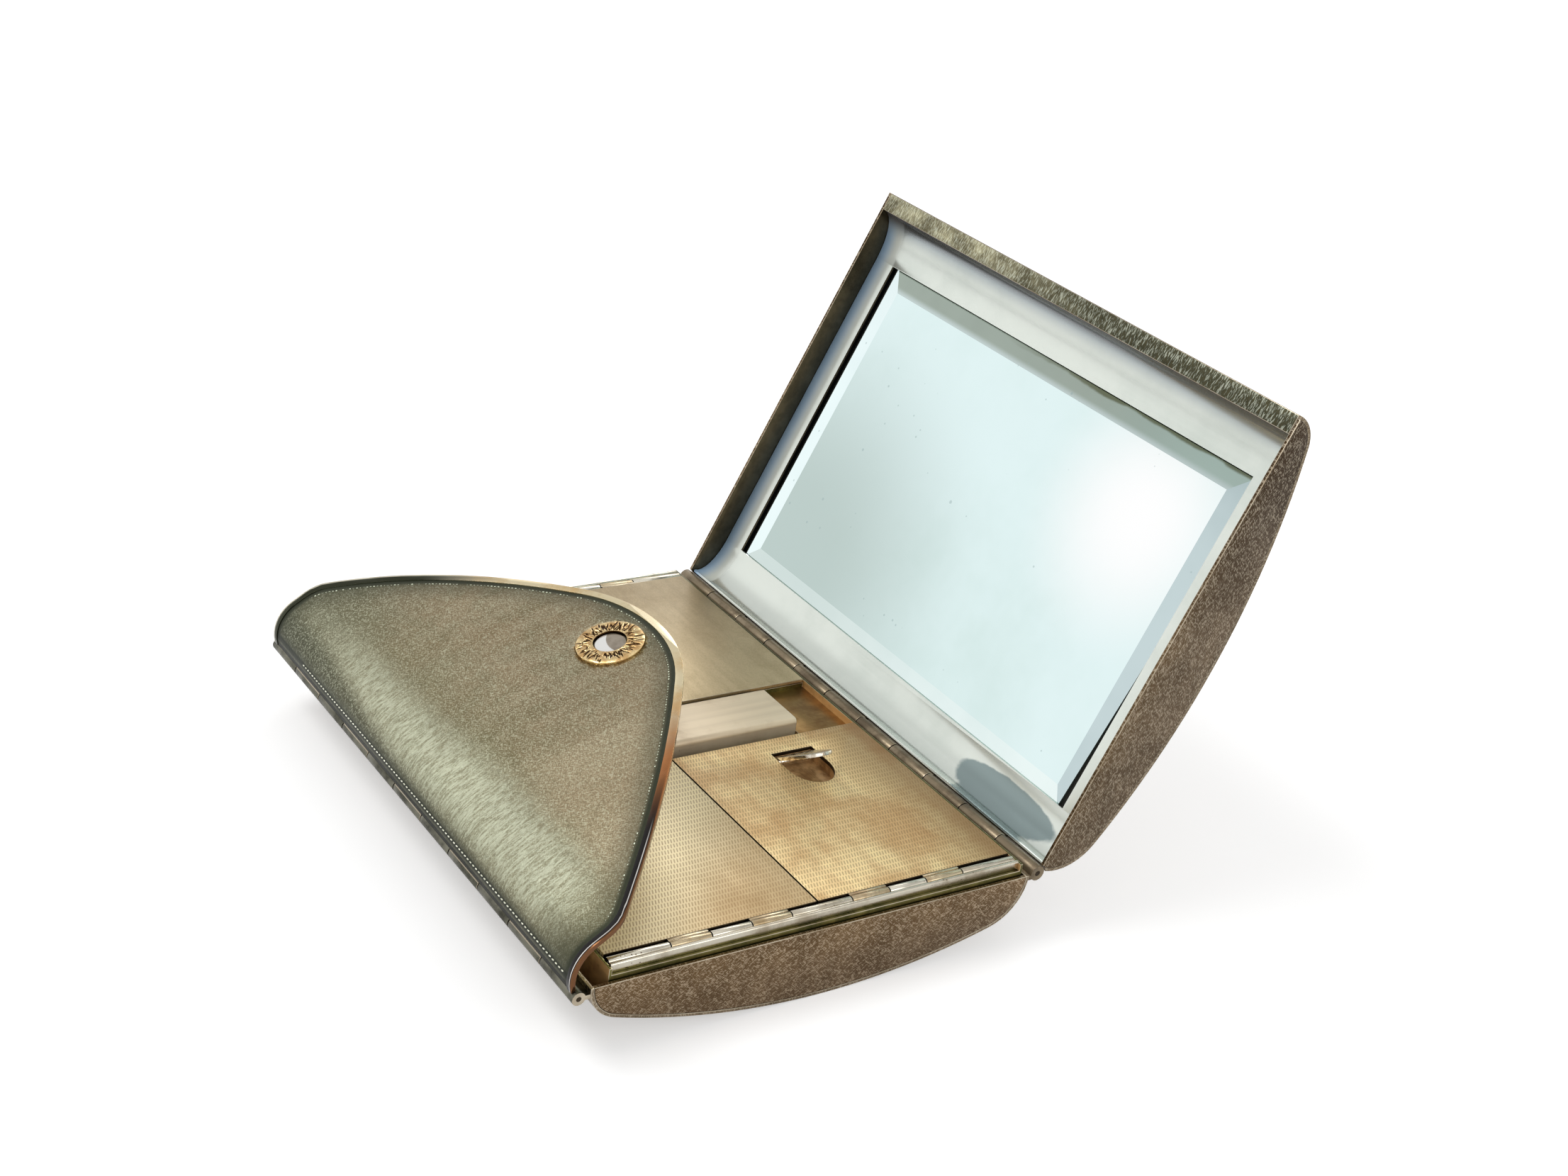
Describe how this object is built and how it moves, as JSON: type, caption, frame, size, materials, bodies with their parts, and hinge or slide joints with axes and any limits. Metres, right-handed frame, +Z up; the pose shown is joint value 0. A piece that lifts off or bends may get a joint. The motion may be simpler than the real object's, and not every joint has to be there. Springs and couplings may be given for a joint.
{
  "type": "vanity case",
  "caption": "Open silver evening vanity case: curved base with a lidded gilt tray and lipstick case, mirrored lid, envelope flap with a push-button clasp.",
  "frame": {"origin": "on the table, under the middle of the open case's bounding box", "axes": "+X along the hinges towards the near end with the back cover, +Y towards the open mirror lid, +Z up"},
  "size_m": [0.17, 0.1874, 0.1351],
  "materials": {
    "engraved_silver": "finely engraved silver sheet with an olive-grey patina, satin",
    "end_silver": "cross-brushed silver plate with a taupe-brown patina, satin",
    "hinge_silver": "worn silver hinge tube, satin",
    "bright_silver": "polished silver",
    "gilt": "gilded silver with a fine woven engraving, satin",
    "green_gilt": "worn gilding with a green cast, satin",
    "lipstick_silver": "brushed silver with a pink cast",
    "pin_steel": "drawn wire and turned parts, bright",
    "mirror_glass": "silvered glass with a wide bevel",
    "backing_card": "dark felted card"
  },
  "bodies": {
    "base": {"base_shell": "engraved_silver", "base_end_near": "end_silver", "base_end_far": "end_silver", "base_lid_hinge": "hinge_silver", "base_flap_hinge": "hinge_silver", "lid_pin": "pin_steel", "flap_pin": "pin_steel", "tray_pan": "green_gilt", "well_rest_front": "green_gilt", "well_rest_back": "green_gilt", "tray_rail_near": "bright_silver", "tray_rail_far": "bright_silver", "tray_hinge_near": "bright_silver", "tray_hinge_far": "bright_silver", "cover_pin_near": "pin_steel", "cover_pin_far": "pin_steel"},
    "lid": {"lid_shell": "engraved_silver", "lid_end_near": "end_silver", "lid_end_far": "end_silver", "lid_ledge": "green_gilt", "lid_hinge": "hinge_silver", "mirror_liner": "bright_silver", "mirror_glass": "mirror_glass", "mirror_card": "backing_card", "mirror_cradle": "pin_steel", "strike_cup": "pin_steel"},
    "flap": {"flap_shell": "engraved_silver", "flap_rim": "gilt", "flap_hinge": "hinge_silver", "ornament_ring": "gilt", "latch_barrel": "pin_steel", "button_washer": "pin_steel"},
    "clasp_button": {"clasp_button": "bright_silver"},
    "far_cover": {"far_cover_plate": "engraved_silver", "far_cover_hinge": "bright_silver"},
    "front_cover": {"front_cover_plate": "gilt", "front_cover_hinge": "bright_silver"},
    "back_cover": {"back_cover_plate": "gilt", "back_cover_hinge": "bright_silver", "finger_cup": "gilt", "tab_pin": "pin_steel"},
    "thumb_tab": {"thumb_tab": "gilt"},
    "lipstick": {"lipstick_sleeve": "lipstick_silver", "lipstick_cap": "lipstick_silver"}
  },
  "joints": [
    {"name": "lid_hinge", "type": "hinge", "parent": "base", "child": "lid", "pos_m": [0, 0.03606, 0.0189], "axis": [-1, 0, 0], "range_deg": [-88, 0]},
    {"name": "flap_hinge", "type": "hinge", "parent": "base", "child": "flap", "pos_m": [0, -0.09174, 0.01686], "axis": [1, 0, 0], "range_deg": [-13.5, 150]},
    {"name": "button_press", "type": "slide", "parent": "flap", "child": "clasp_button", "axis": [0, -0.2948, 0.9556], "range_m": [-0.0008, 0], "stiffness_N_per_m": 300},
    {"name": "far_cover_hinge", "type": "hinge", "parent": "base", "child": "far_cover", "pos_m": [-0.0805, -0.02619, 0.0213], "axis": [0, -1, 0], "range_deg": [0, 7.5]},
    {"name": "front_cover_hinge", "type": "hinge", "parent": "base", "child": "front_cover", "pos_m": [0.0805, -0.02619, 0.0213], "axis": [0, 1, 0], "range_deg": [0, 7.5]},
    {"name": "back_cover_hinge", "type": "hinge", "parent": "base", "child": "back_cover", "pos_m": [0.0805, -0.02619, 0.0213], "axis": [0, 1, 0], "range_deg": [0, 100]},
    {"name": "thumb_tab_hinge", "type": "hinge", "parent": "back_cover", "child": "thumb_tab", "pos_m": [0.02, 0.00801, 0.0208], "axis": [0, -1, 0], "range_deg": [-31, 59]},
    {"name": "lipstick_lift", "type": "slide", "parent": "base", "child": "lipstick", "axis": [0, 0, 1], "range_m": [0, 0.012]}
  ]
}
